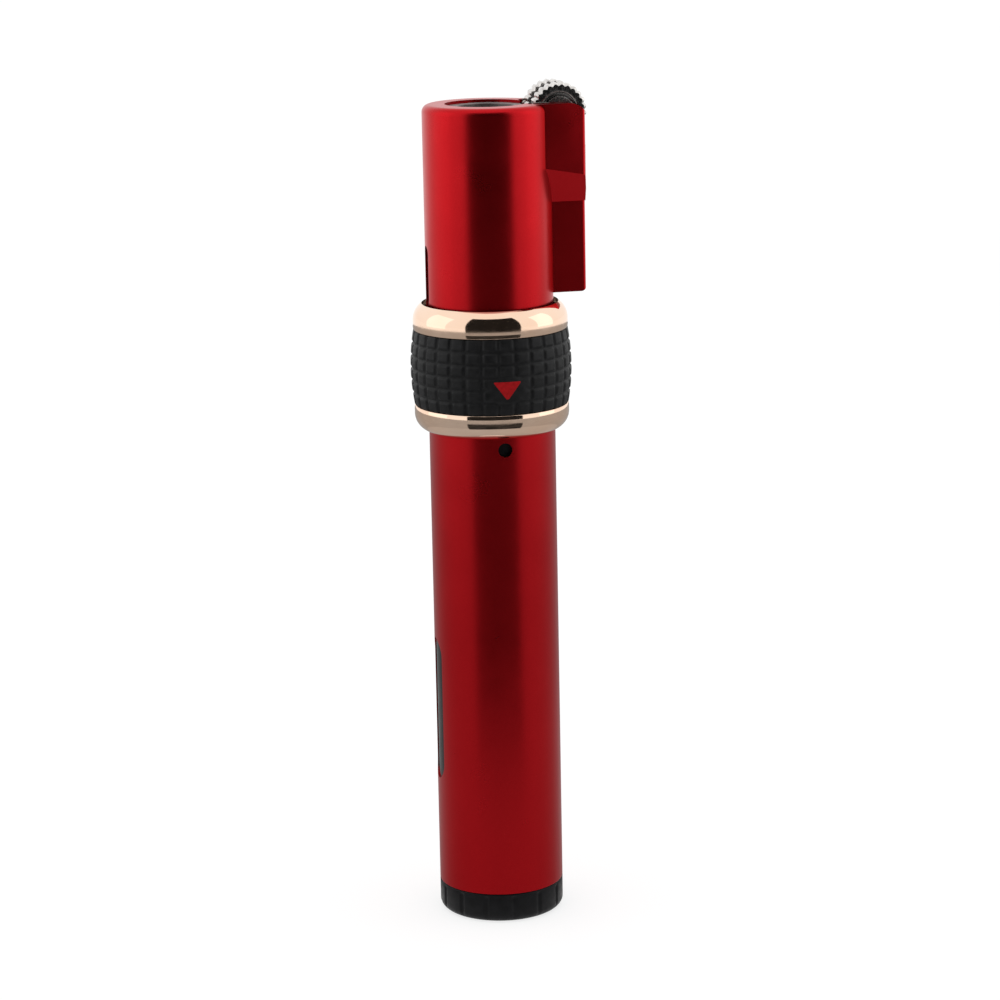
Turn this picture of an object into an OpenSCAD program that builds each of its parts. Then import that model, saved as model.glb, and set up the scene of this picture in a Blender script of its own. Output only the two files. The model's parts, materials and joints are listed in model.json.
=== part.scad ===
// Pen-style butane torch. It stands upright on its base cap.
// Millimetres. +Z up the torch, origin at the centre of the base face.
// +X is the spark wheel side, -Y the side with the index mark, -X the side with the fuel window.

/* [Overall] */
// Outer diameter of the body shells
body_d = 21; // [20.5:0.1:22]
// Height of the flat top of the upper shell
top_z = 137.1; // [136:0.1:139]
// Wall thickness of the body shells
shell_wall = 0.8; // [0.6:0.1:1]
// Radius of the rounded top edge of the upper shell
top_edge_r = 1.25; // [0.8:0.05:1.5]

/* [Base] */
// Height of the black base cap
base_h = 5; // [4.5:0.1:6]
// Radius of the rounded bottom edge of the base cap
base_edge_r = 1.4; // [0.8:0.1:1.6]
// Number of shallow grip grooves round the base cap
base_grooves = 14; // [8:1:20]
// Distance of the refill port and of the adjuster from the axis
port_x = 4; // [3.8:0.1:4.4]
// Radius of the refill port's mouth
port_r = 2.2; // [2:0.1:2.4]

/* [Fuel window and index hole] */
// Height of the window's lower end
window_z = 23.4; // [18:0.1:30]
// Length of the window
window_l = 24.5; // [16:0.5:30]
// Width of the window
window_w = 5.9; // [4:0.1:7]
// Height of the small index hole below the gas ring
index_hole_z = 81.5; // [80:0.1:82]
// Diameter of the index hole
index_hole_d = 2.35; // [1.6:0.05:2.6]

/* [Gas ring] */
// Height of the ring's lower edge
ring_z = 83.4; // [83:0.1:84]
// Height of each bright trim ring
trim_h = 4.3; // [4:0.1:4.4]
// Height of the rubber grip between the trim rings
grip_h = 12.45; // [12:0.05:12.6]
// Greatest radius of the grip
grip_r = 13.34; // [13.1:0.02:13.6]
// Greatest radius of the trim rings
trim_r = 12.82; // [12.6:0.02:12.9]
// Angle that the gas ring turns from off to full flow
ring_turn = 60; // [50:1:60]

/* [Wheel housing] */
// Distance of the housing's outer face from the axis
fin_x = 16; // [15.8:0.1:16.4]
// Half thickness of the slim rib that holds the flint
rib_half = 2.3; // [2.1:0.1:2.6]
// Half thickness of the housing beside the spark wheel
cheek_half = 6.3; // [6.1:0.1:6.6]
// Width of the air slot opposite the housing
air_slot_w = 2.6; // [2:0.1:3.2]

/* [Spark wheel] */
// Distance of the wheel's axle from the torch's axis
wheel_x = 11.4; // [11.4:0.05:11.6]
// Height of the wheel's axle
wheel_z = 135.8; // [135.7:0.05:136]
// Outer radius of the thumb wheels
thumb_r = 4.6; // [4.4:0.05:4.6]
// Number of teeth on each thumb wheel
thumb_teeth = 24; // [16:1:32]
// Radius of the toothed steel wheel in the middle
file_r = 4; // [3.8:0.05:4]
// Number of teeth on the steel wheel
file_teeth = 40; // [24:2:48]

/* [Hidden] */
$fn = 96;
eps = 0.01;
body_r = body_d / 2;
bore_r = body_r - shell_wall;
gap = 0.05;
// inner sleeve that joins the two shells
sleeve_r = bore_r - 0.1;
sleeve_in_r = sleeve_r - 0.85;
sleeve_z0 = 78.9;
sleeve_z1 = 112;
shell_lo_top = 86;
shell_up_z0 = 102;
// gas ring levels
grip_z = ring_z + trim_h + gap;
carrier_r = 11.9;
carrier_z0 = 84.5;
carrier_z1 = 103.4;
// shoulder radius and lip radius of each trim ring
lower_shoulder_r = 2.9;
lower_lip_r = body_r + 0.16;
upper_shoulder_r = 3.3;
upper_lip_r = body_r + 0.8;
// fuel tank
tank_r = bore_r - 0.15;
tank_wall = 1;
tank_z0 = 5.2;
tank_step_z = 8.2;
tank_top = 77;
spigot_in_r = 8.85;
// cam and lifter
cam_z0 = 84;
cam_mid_z = 92;
cam_r = sleeve_in_r - 0.1;
cam_in_r = 5;
cam_foot_r = 6.8;
cam_rise = 1.2;
cam_tilt = atan(cam_rise / cam_foot_r);
foot_r = 0.8;
foot_rest_z = cam_mid_z - cam_rise / 2 + foot_r / cos(cam_tilt) + 0.04;
drive_z = 87.2;
drive_pin_r = 0.75;
// valve stem
stem_r = 1.2;
stem_top = 104.5;
// wheel housing
fin_z0 = 105.8;
ramp_z0 = 120.8;
ramp_z1 = 126.7;
cheek_out_half = 5.5;
fin_face_r = 22;
fin_corner_r = 0.5;
slot_half = 4.5;
slot_floor = 130.1;
slot_x0 = 6.2;
flint_bore_r = 1.5;
mouth_r = 4.6;
ledge_r = 6.7;
ledge_drop = 0.45;
// wheel bracket
ear_t = 0.5;
ear_y = 3.95;
// wheel set
thumb_y0 = 1.45;
thumb_y1 = 3.8;
axle_r = 1;
wheel_bore_r = axle_r + gap;

// A tube standing on z0
module tube(r_out, r_in, z0, z1) {
    translate([0, 0, z0])
        difference() {
            cylinder(r = r_out, h = z1 - z0);
            translate([0, 0, -eps]) cylinder(r = r_in, h = z1 - z0 + 2 * eps);
        }
}

// A disc or rod standing on z0
module rod(r, z0, z1) {
    translate([0, 0, z0]) cylinder(r = r, h = z1 - z0);
}

// A ring of round section
module o_ring(mean_r, section_r, z) {
    translate([0, 0, z])
        rotate_extrude()
            translate([mean_r, 0]) circle(r = section_r, $fn = 24);
}

// A slot with round ends along Z, cut towards -X
module side_slot(width, z0, z1, x0, x1) {
    translate([x0, 0, 0]) {
        translate([0, -width / 2, z0 + width / 2]) cube([x1 - x0, width, z1 - z0 - width]);
        for (z = [z0 + width / 2, z1 - width / 2])
            translate([0, 0, z]) rotate([0, 90, 0]) cylinder(d = width, h = x1 - x0, $fn = 48);
    }
}

// Coil spring: a small round wire swept along a helix
module coil(mean_r, wire_r, z0, z1, turns) {
    steps = 10;
    sides = 6;
    count = round(turns * steps);
    rise = (z1 - z0 - 2 * wire_r) / count;
    points = [for (i = [0:count]) for (k = [0:sides - 1])
        let (a = 360 * i / steps, b = 360 * k / sides, r = mean_r + wire_r * cos(b))
        [r * cos(a), r * sin(a), z0 + wire_r + rise * i + wire_r * sin(b)]];
    walls = [for (i = [0:count - 1]) for (k = [0:sides - 1]) for (t = [0, 1])
        let (n = (k + 1) % sides, a = i * sides, b = a + sides)
        t == 0 ? [a + k, b + k, b + n] : [a + k, b + n, a + n]];
    start = [for (k = [0:sides - 1]) k];
    end = [for (k = [sides - 1:-1:0]) count * sides + k];
    polyhedron(points = points, faces = concat(walls, [start, end]));
}

// ---------- base and fuel ----------

module base_cap() {
    color("#1c1c1e")
        difference() {
            union() {
                rotate_extrude() {
                    difference() {
                        square([body_r, base_h]);
                        translate([body_r - base_edge_r, 0]) square([base_edge_r + eps, base_edge_r]);
                    }
                    intersection() {
                        translate([body_r - base_edge_r, base_edge_r]) circle(r = base_edge_r);
                        square([body_r, base_edge_r + eps]);
                    }
                }
                tube(bore_r - gap, spigot_in_r, base_h - eps, tank_step_z - 0.2);
            }
            for (i = [0:base_grooves - 1])
                rotate([0, 0, (i + 0.5) * 360 / base_grooves])
                    translate([body_r + 0.35, 0, base_edge_r])
                        cylinder(r = 0.6, h = base_h - base_edge_r - 0.4, $fn = 24);
            translate([-port_x, 0, 0]) {
                rod(port_r, -eps, 3.2);
                rod(3, 3, base_h + eps);
            }
            translate([port_x, 0, 0]) rod(1.95, -eps, base_h + eps);
        }
}

module lower_shell() {
    color("#a5121c")
        difference() {
            tube(body_r, bore_r, base_h, shell_lo_top);
            side_slot(window_w, window_z, window_z + window_l, -body_r - 1, -bore_r + 1);
            translate([0, -bore_r + 1, index_hole_z])
                rotate([90, 0, 0]) cylinder(d = index_hole_d, h = 3, $fn = 48);
        }
}

module fuel_tank() {
    in_r = tank_r - tank_wall;
    color([0.25, 0.22, 0.2])
        difference() {
            union() {
                rod(spigot_in_r - 0.1, tank_z0, tank_step_z + eps);
                rod(tank_r, tank_step_z, tank_top);
            }
            rod(in_r, tank_step_z + 0.2, tank_top - 2);
            for (x = [-port_x, port_x])
                translate([x, 0, 0]) rod(1.95, tank_z0 - eps, tank_step_z + 1);
            rod(2.45, tank_top - 3, tank_top + eps);
        }
}

module fuel_window() {
    edge = 0.06;
    color([0.12, 0.1, 0.1, 0.6])
        intersection() {
            tube(body_r - 0.3, bore_r + gap, window_z, window_z + window_l);
            side_slot(window_w - 2 * edge, window_z + edge, window_z + window_l - edge,
                -body_r - 1, -bore_r + 1);
        }
}

module refill_valve_body() {
    color("#c9a24b")
        translate([-port_x, 0, 0])
            difference() {
                union() {
                    rod(2.9, 3.25, 4.6);
                    rod(1.9, 4.6 - eps, 9.4);
                }
                rod(1, 3, 10);
                rod(1.5, 4, 8.5);
                rod(1, 8, 10);
            }
}

module refill_washer() {
    color("#202020") translate([-port_x, 0, 0]) tube(2.85, 1.95, 4.63, 5.17);
}

module refill_pin() {
    color("#d8d4c8")
        translate([-port_x, 0, 0]) {
            rod(0.92, 3.3, 8);
            rod(1.42, 4.05, 4.7);
        }
}

module refill_spring() {
    color("silver") translate([-port_x, 0, 0]) coil(1.2, 0.14, 4.72, 8.48, 4);
}

module adjuster_screw() {
    color("#b8923e")
        translate([port_x, 0, 0])
            difference() {
                union() {
                    rod(1.87, 0.9, 4);
                    rod(1.38, 4 - eps, 9);
                }
                translate([-0.35, -2, 0.8]) cube([0.7, 4, 0.9]);
            }
}

module regulator_body() {
    color("#c9a24b")
        translate([port_x, 0, 0])
            difference() {
                union() {
                    rod(1.9, tank_z0, 8.45);
                    rod(2.4, 8.45, 14);
                }
                rod(1.43, tank_z0 - eps, 11);
                rod(0.92, 11 - eps, 14 + eps);
            }
}

module flow_filter() {
    color("#e8e4d8") translate([port_x, 0, 0]) rod(1.4, 9.2, 10.9);
}

module feed_tube() {
    bend_z = 70;
    wall = 0.4;
    color([0.85, 0.85, 0.8])
        difference() {
            union() {
                translate([port_x, 0, 0]) rod(0.9, 11.1, bend_z);
                translate([port_x, 0, bend_z]) sphere(r = 0.9, $fn = 32);
                translate([1.95, 0, bend_z]) rotate([0, 90, 0]) cylinder(r = 0.9, h = port_x - 1.95);
            }
            translate([port_x, 0, 0]) rod(0.9 - wall, 11, bend_z);
            translate([1.9, 0, bend_z]) rotate([0, 90, 0]) cylinder(r = 0.9 - wall, h = port_x - 1.9);
        }
}

// ---------- gas valve ----------

module valve_body() {
    color("#c9a24b")
        difference() {
            union() {
                rod(2.42, 66, 82);
                rod(4, 77.6, 78.8);
            }
            rod(1.9, 68, 74);
            rod(stem_r + gap, 68, 82 + eps);
            translate([1.85, 0, 70]) rotate([0, 90, 0]) cylinder(r = 0.92, h = 1);
        }
}

module tank_seal() {
    color("#202020") tube(4, 2.5, tank_top + 0.03, 77.57);
}

module valve_pad() {
    color("#303030") rod(1.4, 68.05, 69);
}

module valve_stem() {
    color("#d8b45a")
        difference() {
            union() {
                rod(1.75, 69, 70);
                rod(stem_r, 69, stem_top);
            }
            rod(0.5, 76, stem_top + eps);
            translate([-2, 0, 76.5]) rotate([0, 90, 0]) cylinder(r = 0.3, h = 4, $fn = 24);
        }
}

module valve_spring() {
    color("silver") coil(1.55, 0.15, 70.03, 73.97, 4);
}

module valve_lifter() {
    hub_z = foot_rest_z + 0.6;
    color("#d6d2c8")
        difference() {
            union() {
                rod(2.6, hub_z, hub_z + 3);
                translate([-cam_r - 0.3, -0.9, hub_z]) cube([cam_r + 0.3, 1.8, 2]);
                translate([-cam_foot_r, 0, 0]) rod(foot_r, foot_rest_z, hub_z + 1);
                translate([-cam_foot_r, 0, foot_rest_z]) sphere(r = foot_r, $fn = 48);
            }
            rod(stem_r + 0.01, hub_z - 1, hub_z + 4);
        }
}

module valve_plate() {
    color("#8f9094")
        difference() {
            rod(sleeve_in_r - gap, sleeve_z0, 81);
            rod(2.5, sleeve_z0 - eps, 81 + eps);
            for (a = [45:90:315])
                rotate([0, 0, a]) translate([5.8, 0, 0]) rod(1.1, sleeve_z0 - eps, 81 + eps);
        }
}

module cam_ring() {
    up = 60;
    color("#d8d2c0")
        difference() {
            tube(cam_r, cam_in_r, cam_z0, cam_mid_z + 2);
            translate([0, 0, cam_mid_z])
                rotate([0, 0, up]) rotate([0, -cam_tilt, 0])
                    translate([-15, -15, 0]) cube([30, 30, 8]);
            translate([cam_in_r - 1, 0, drive_z])
                rotate([0, 90, 0]) cylinder(r = drive_pin_r + 0.01, h = 6, $fn = 48);
        }
}

module drive_pin() {
    color("silver")
        translate([cam_in_r + 0.8, 0, drive_z])
            rotate([0, 90, 0]) cylinder(r = drive_pin_r, h = carrier_r - cam_in_r - 0.9, $fn = 48);
}

// Slot for the drive pin, wide enough for the ring's whole turn
module drive_slot() {
    half = drive_pin_r + 0.15;
    margin = 8;
    rotate([0, 0, -margin])
        rotate_extrude(angle = ring_turn + 2 * margin)
            translate([sleeve_in_r - 1, drive_z - half]) square([3, 2 * half]);
}

module inner_sleeve() {
    color("#77787c")
        difference() {
            tube(sleeve_r, sleeve_in_r, sleeve_z0, sleeve_z1);
            drive_slot();
            translate([-sleeve_r - 1, -1, cam_mid_z - 0.5]) cube([3, 2, 7]);
            side_slot(air_slot_w, 104.6, 125, -body_r - 1, -sleeve_in_r + 1);
            translate([0, 0, 96.65])
                difference() {
                    cylinder(r = sleeve_r + 1, h = 0.7);
                    translate([0, 0, -eps]) cylinder(r = sleeve_r - 0.5, h = 0.7 + 2 * eps);
                }
            translate([9, -8, 106]) cube([3, 16, 8]);
        }
}

module drag_ring() {
    color("#202020") o_ring(sleeve_r - 0.22, 0.27, 97);
}

// ---------- gas ring ----------

module ring_carrier() {
    rib_r = sleeve_r + 0.08;
    color("#3a3a3e")
        difference() {
            tube(carrier_r, body_r + 0.08, carrier_z0, carrier_z1);
            translate([0, 0, drive_z]) rotate([0, 90, 0])
                cylinder(r = drive_pin_r + 0.01, h = 20, $fn = 48);
        }
    color("#3a3a3e")
        difference() {
            tube(body_r + 0.3, rib_r, shell_lo_top + 0.15, shell_up_z0 - 0.15);
            translate([0, 0, drive_z]) rotate([0, 90, 0])
                cylinder(r = drive_pin_r + 0.01, h = 20, $fn = 48);
        }
}

// Barrel of the grip: an arc that bulges from the trim rings to grip_r
module grip_barrel(extra) {
    bulge = grip_r - trim_r + 0.05;
    arc_r = (pow(grip_h / 2, 2) + bulge * bulge) / (2 * bulge);
    rotate_extrude()
        intersection() {
            translate([grip_r + extra - arc_r, grip_z + grip_h / 2]) circle(r = arc_r, $fn = 128);
            translate([carrier_r + 0.02, grip_z]) square([3, grip_h]);
        }
}

module index_prism(grow) {
    top = 93.4 + grow;
    tip = 90.4 - grow;
    half = 2.45 + grow;
    rotate([90, 0, 0])
        translate([0, 0, 12.4])
            linear_extrude(2) polygon([[-half, top], [half, top], [0.2, tip], [-0.2, tip]]);
}

module grip_sleeve() {
    color("#202123")
        difference() {
            grip_barrel(0);
            index_prism(0.02);
        }
}

module index_mark() {
    color("#a01018") intersection() {
        grip_barrel(0.05);
        index_prism(0);
    }
}

// Bright trim ring, drawn with its lip at z = 0: a round shoulder rises from the lip to a band
module trim_ring(shoulder_r, lip_r) {
    lip_t = 1;
    arc_x = trim_r - shoulder_r;
    arc_z = sqrt(shoulder_r * shoulder_r - (lip_r - arc_x) * (lip_r - arc_x));
    rotate_extrude()
        difference() {
            union() {
                translate([arc_x, arc_z]) square([shoulder_r, trim_h - arc_z]);
                intersection() {
                    translate([arc_x, arc_z]) circle(r = shoulder_r, $fn = 128);
                    translate([lip_r, 0]) square([trim_r - lip_r, arc_z + eps]);
                }
            }
            square([lip_r, trim_h]);
            translate([0, lip_t]) square([carrier_r + 0.02, trim_h]);
        }
}

module lower_trim_ring() {
    color("#d9a98c") translate([0, 0, ring_z]) trim_ring(lower_shoulder_r, lower_lip_r);
}

module upper_trim_ring() {
    top = grip_z + grip_h + gap + trim_h;
    color("#d9a98c")
        translate([0, 0, top]) mirror([0, 0, 1]) trim_ring(upper_shoulder_r, upper_lip_r);
}

// ---------- upper shell ----------

// Plan of the housing that carries the spark wheel, with a slightly convex outer face
module fin_plan(half_in, half_out, corner) {
    side_x = fin_face_r - sqrt(fin_face_r * fin_face_r - half_out * half_out);
    edge_x = fin_x - side_x - corner;
    intersection() {
        union() {
            polygon([[0, -half_in], [body_r - 2, -half_in], [edge_x, -half_out],
                [edge_x, half_out], [body_r - 2, half_in], [0, half_in]]);
            translate([edge_x - 0.5, corner - half_out])
                square([corner + side_x + 1, 2 * (half_out - corner)]);
            for (s = [-1, 1])
                translate([edge_x, s * (half_out - corner)]) circle(r = corner, $fn = 32);
        }
        translate([fin_x - fin_face_r, 0]) circle(r = fin_face_r, $fn = 160);
    }
}

module fin() {
    round_r = 3.4;
    foot_round = 1;
    difference() {
        union() {
            translate([0, 0, fin_z0])
                linear_extrude(top_z - fin_z0) fin_plan(rib_half, rib_half - 0.1, fin_corner_r);
            translate([0, 0, ramp_z0])
                linear_extrude(top_z - ramp_z0) fin_plan(cheek_half, cheek_out_half, fin_corner_r);
        }
        for (s = [0, 1])
            mirror([0, s, 0])
                rotate([90, 0, 90])
                    translate([0, 0, -1])
                        linear_extrude(fin_x + 4)
                            polygon([[rib_half, ramp_z0 - 1], [rib_half, ramp_z0],
                                [cheek_half + 0.01, ramp_z1], [cheek_half + 3, ramp_z1],
                                [cheek_half + 3, ramp_z0 - 1]]);
        corner_cut(fin_x - round_r, top_z - round_r, round_r, 1);
        corner_cut(fin_x - foot_round, fin_z0 + foot_round, foot_round, -1);
    }
}

// Rounds an outer corner of the housing, seen from the front
module corner_cut(x, z, r, up) {
    translate([x, 10, z])
        rotate([90, 0, 0])
            difference() {
                translate([0, up > 0 ? 0 : -r - 1]) cube([r + 1, r + 1, 20]);
                translate([0, 0, -eps]) cylinder(r = r, h = 20 + 2 * eps, $fn = 64);
            }
}

module shell_barrel() {
    rotate_extrude() {
        square([body_r - top_edge_r, top_z - shell_up_z0]);
        square([body_r, top_z - shell_up_z0 - top_edge_r]);
        translate([body_r - top_edge_r, top_z - shell_up_z0 - top_edge_r]) circle(r = top_edge_r);
    }
}

module upper_shell() {
    crown = 2;
    color("#a5121c")
        difference() {
            union() {
                translate([0, 0, shell_up_z0]) shell_barrel();
                fin();
            }
            rod(bore_r, shell_up_z0 - eps, top_z - crown);
            rod(5.45, top_z - crown - eps, top_z + eps);
            rod(ledge_r + gap, top_z - 2 * ledge_drop, top_z + eps);
            side_slot(air_slot_w, 104.3, 114.2, -body_r - 1, -bore_r + 1);
            translate([slot_x0, -slot_half, slot_floor]) cube([12, 2 * slot_half, 10]);
            translate([wheel_x, 0, 0]) rod(flint_bore_r, fin_z0 - eps, slot_floor + eps);
        }
}

// ---------- burner ----------

module burner_base() {
    color("#8f9094")
        difference() {
            rod(sleeve_in_r - gap, 106.2, 107.5);
            rod(2.5, 106, 108);
        }
}

module jet_holder() {
    color("#c9a24b")
        difference() {
            union() {
                rod(2.45, 103, 110);
                rod(3.6, 107.53, 108.4);
            }
            rod(stem_r + gap, 103 - eps, 106.4);
            rod(1.9, 103.9, 104.7);
            rod(0.6, 106, 109);
            rod(1.25, 108.9, 110 + eps);
        }
}

module stem_seal() {
    color("#202020") o_ring(1.56, 0.32, 104.3);
}

module jet_orifice() {
    color("#b9bcc2") tube(1.23, 0.15, 108.95, 109.6);
}

module mixing_tube() {
    color("#b9bcc2")
        difference() {
            union() {
                rod(3.4, 108.45, 118.5);
                translate([0, 0, 110.4]) cylinder(r1 = 3.4, r2 = 4, h = 2);
                rod(4, 112.4, 118.5);
            }
            rod(2.55, 108.4, 113.5);
            translate([0, 0, 113.5 - eps]) cylinder(r1 = 2.55, r2 = 1.5, h = 2);
            translate([0, 0, 115.4]) cylinder(r1 = 1.5, r2 = 3.2, h = 3.2);
            for (a = [45:90:315])
                rotate([0, 0, a]) translate([0, 0, 111.2]) rotate([0, 90, 0]) cylinder(r = 0.8, h = 5);
        }
}

module burner_tube() {
    color("#9fa3a8") tube(4.4, 4.05, 116, 130.4);
}

module flame_stabiliser() {
    color("#6f7276")
        difference() {
            rod(4, 126, 127.2);
            rod(1.1, 125, 128);
            for (a = [0:45:315])
                rotate([0, 0, a]) translate([2.6, 0, 0]) rod(0.55, 125, 128);
        }
}

module mouth_ring() {
    color("#5c5a5a")
        difference() {
            union() {
                rod(ledge_r, top_z - 2 * ledge_drop + 0.02, top_z - ledge_drop);
                rod(5.4, 130.5, top_z - ledge_drop);
            }
            rod(mouth_r, 130, top_z);
            translate([slot_x0 - 0.1, -8, 130]) cube([5, 16, 8]);
        }
}

// ---------- ignition ----------

// Outline of one bracket ear: a flat shoulder, a dome over the axle, then a slope to the outside
module ear_outline() {
    dome_r = 2.35;
    difference() {
        union() {
            polygon([[6.9, 130.15], [6.9, 137.25], [wheel_x, 137.25], [wheel_x + 1.2, 137.4],
                [15.1, 135.4], [15.1, 130.15]]);
            translate([wheel_x - 0.1, wheel_z]) circle(r = dome_r);
        }
        translate([wheel_x, wheel_z]) circle(r = axle_r + 0.01);
    }
}

module wheel_bracket() {
    color("#c8c8cc") {
        for (s = [-1, 1])
            translate([0, s > 0 ? ear_y + ear_t : -ear_y, 0])
                rotate([90, 0, 0]) linear_extrude(ear_t) ear_outline();
        difference() {
            translate([6.9, -ear_y - eps, 130.15]) cube([8.2, 2 * (ear_y + eps), 0.5]);
            translate([wheel_x, 0, 0]) rod(1.1, 130, 131);
        }
    }
}

module wheel_axle() {
    color("#c8c8cc")
        translate([wheel_x, ear_y + ear_t, wheel_z])
            rotate([90, 0, 0]) cylinder(r = axle_r, h = 2 * (ear_y + ear_t));
}

module spark_wheel() {
    depth = 0.35;
    teeth = [for (i = [0:2 * file_teeth - 1])
        let (a = 180 * i / file_teeth, r = i % 2 == 0 ? file_r : file_r - depth)
        [r * cos(a), r * sin(a)]];
    color("#50504e")
        translate([wheel_x, thumb_y0 - gap, wheel_z])
            rotate([90, 0, 0])
                difference() {
                    linear_extrude(2 * (thumb_y0 - gap)) polygon(teeth);
                    translate([0, 0, -eps]) cylinder(r = wheel_bore_r, h = 4);
                }
}

// Thumb wheel on the +Y side: bevelled rim with round notches and a stepped outer face
module thumb_wheel() {
    bevel = 0.25;
    step_r = 2.8;
    step_in = 0.3;
    w = thumb_y1 - thumb_y0;
    translate([wheel_x, thumb_y0, wheel_z])
        rotate([-90, 0, 0])
            difference() {
                rotate_extrude()
                    polygon([[wheel_bore_r, 0], [thumb_r - bevel, 0], [thumb_r, bevel],
                        [thumb_r, w - bevel], [thumb_r - bevel, w], [step_r + 0.3, w],
                        [step_r, w - step_in], [wheel_bore_r, w - step_in]]);
                for (i = [0:thumb_teeth - 1])
                    rotate([0, 0, i * 360 / thumb_teeth])
                        translate([thumb_r + 0.18, 0, -eps])
                            cylinder(r = 0.45, h = w + 2 * eps, $fn = 24);
            }
}

module thumb_wheel_rear() {
    color("#bdb9b4") thumb_wheel();
}

module thumb_wheel_front() {
    color("#bdb9b4") mirror([0, 1, 0]) thumb_wheel();
}

module flint_tube() {
    color("#c9a24b") translate([wheel_x, 0, 0]) tube(1.42, 1.08, 109.1, 130.1);
}

module flint() {
    color("#4c4a48") translate([wheel_x, 0, 0]) rod(1, 126.5, 131.7);
}

module flint_spring() {
    color("silver") translate([wheel_x, 0, 0]) coil(0.82, 0.16, 109.1, 126.45, 11);
}

module flint_plug() {
    color("#b8923e")
        translate([wheel_x, 0, 0])
            difference() {
                rod(1.45, 106.1, 109);
                translate([-2, -0.3, 106]) cube([4, 0.6, 0.8]);
            }
}

base_cap();
lower_shell();
fuel_tank();
fuel_window();
refill_valve_body();
refill_washer();
refill_pin();
refill_spring();
adjuster_screw();
regulator_body();
flow_filter();
feed_tube();
valve_body();
tank_seal();
valve_spring();
valve_stem();
valve_pad();
valve_lifter();
valve_plate();
inner_sleeve();
drag_ring();
ring_carrier();
grip_sleeve();
upper_trim_ring();
lower_trim_ring();
index_mark();
cam_ring();
drive_pin();
upper_shell();
burner_base();
jet_holder();
stem_seal();
jet_orifice();
mixing_tube();
burner_tube();
flame_stabiliser();
mouth_ring();
wheel_bracket();
wheel_axle();
spark_wheel();
thumb_wheel_front();
thumb_wheel_rear();
flint_tube();
flint();
flint_spring();
flint_plug();
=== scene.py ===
import json
import math

import bmesh
import bpy
from mathutils import Matrix, Vector


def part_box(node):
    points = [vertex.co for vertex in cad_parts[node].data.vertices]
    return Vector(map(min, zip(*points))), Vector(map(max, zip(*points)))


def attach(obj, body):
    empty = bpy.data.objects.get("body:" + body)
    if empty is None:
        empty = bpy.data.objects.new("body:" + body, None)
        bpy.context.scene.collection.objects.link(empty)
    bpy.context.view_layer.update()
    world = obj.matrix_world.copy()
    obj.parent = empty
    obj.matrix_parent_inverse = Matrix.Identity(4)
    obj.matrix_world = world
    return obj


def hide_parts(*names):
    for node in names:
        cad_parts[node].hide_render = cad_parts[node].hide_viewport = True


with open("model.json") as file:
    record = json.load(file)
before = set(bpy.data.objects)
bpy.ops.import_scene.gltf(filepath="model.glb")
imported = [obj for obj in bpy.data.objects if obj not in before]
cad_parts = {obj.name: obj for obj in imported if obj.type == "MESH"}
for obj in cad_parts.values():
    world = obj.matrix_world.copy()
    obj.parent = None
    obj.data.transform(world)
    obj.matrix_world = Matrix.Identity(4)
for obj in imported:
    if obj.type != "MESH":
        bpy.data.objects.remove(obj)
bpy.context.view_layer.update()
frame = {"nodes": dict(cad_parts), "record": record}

MM = 0.001
TURN = 2 * math.pi
NODES = frame["nodes"]

# ---------- sizes, all from the frame ----------


def low(node, axis):
    """Lowest coordinate of a CAD node along an axis, in millimetres."""
    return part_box(node)[0][axis] / MM


def high(node, axis):
    """Highest coordinate of a CAD node along an axis, in millimetres."""
    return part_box(node)[1][axis] / MM


BODY_R = high("lower_shell", 1)
WALL = 0.8
BORE_R = BODY_R - WALL
BASE_H = low("lower_shell", 2)
SHELL_TOP = high("lower_shell", 2)
GRIP_Z0 = low("grip_sleeve", 2)
GRIP_Z1 = high("grip_sleeve", 2)
TRIM_R = high("upper_trim_ring", 1)
GRIP_R = high("grip_sleeve", 1)
CARRIER_R = high("ring_carrier", 1)
UPPER_Z0 = low("upper_shell", 2)
TOP_Z = high("upper_shell", 2)
FIN_X = high("upper_shell", 0)
WHEEL_X = (low("thumb_wheel_front", 0) + high("thumb_wheel_front", 0)) / 2
WHEEL_Z = (low("thumb_wheel_front", 2) + high("thumb_wheel_front", 2)) / 2
THUMB_R = high("thumb_wheel_front", 2) - WHEEL_Z
FILE_R = high("spark_wheel", 2) - WHEEL_Z
MOUTH_TOP = high("mouth_ring", 2)
LEDGE_R = high("mouth_ring", 1)
MARK_TOP = high("index_mark", 2)
MARK_TIP = low("index_mark", 2)
MARK_HALF = high("index_mark", 0)

# Where an outline drawn in the XY plane goes: its height axis ends up along the name's direction
TOWARDS_LEFT = Matrix(((0, 0, -1, 0), (1, 0, 0, 0), (0, 1, 0, 0), (0, 0, 0, 1)))
ALONG_X = Matrix(((0, 0, 1, 0), (1, 0, 0, 0), (0, 1, 0, 0), (0, 0, 0, 1)))
TOWARDS_FRONT = Matrix(((1, 0, 0, 0), (0, 0, -1, 0), (0, 1, 0, 0), (0, 0, 0, 1)))
UPRIGHT = Matrix.Identity(4)
# Turns a piece made about Z so that its axis is the wheel's axle
TO_WHEEL = Matrix(((1, 0, 0, WHEEL_X), (0, 0, 1, 0), (0, -1, 0, WHEEL_Z), (0, 0, 0, 1)))


# ---------- mesh tools ----------


def finish_mesh(name, bm):
    """Turns a bmesh into an object with clean outward faces. It stays in millimetres until dress()."""
    bmesh.ops.remove_doubles(bm, verts=bm.verts, dist=1e-5)
    bmesh.ops.recalc_face_normals(bm, faces=bm.faces)
    mesh = bpy.data.meshes.new(name)
    bm.to_mesh(mesh)
    bm.free()
    obj = bpy.data.objects.new(name, mesh)
    bpy.context.scene.collection.objects.link(obj)
    return obj


def arc(cx, cz, r, start, end, count):
    """Points on an arc in a profile, from start to end in degrees."""
    steps = [math.radians(start + (end - start) * i / count) for i in range(count + 1)]
    return [(cx + r * math.cos(a), cz + r * math.sin(a)) for a in steps]


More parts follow.
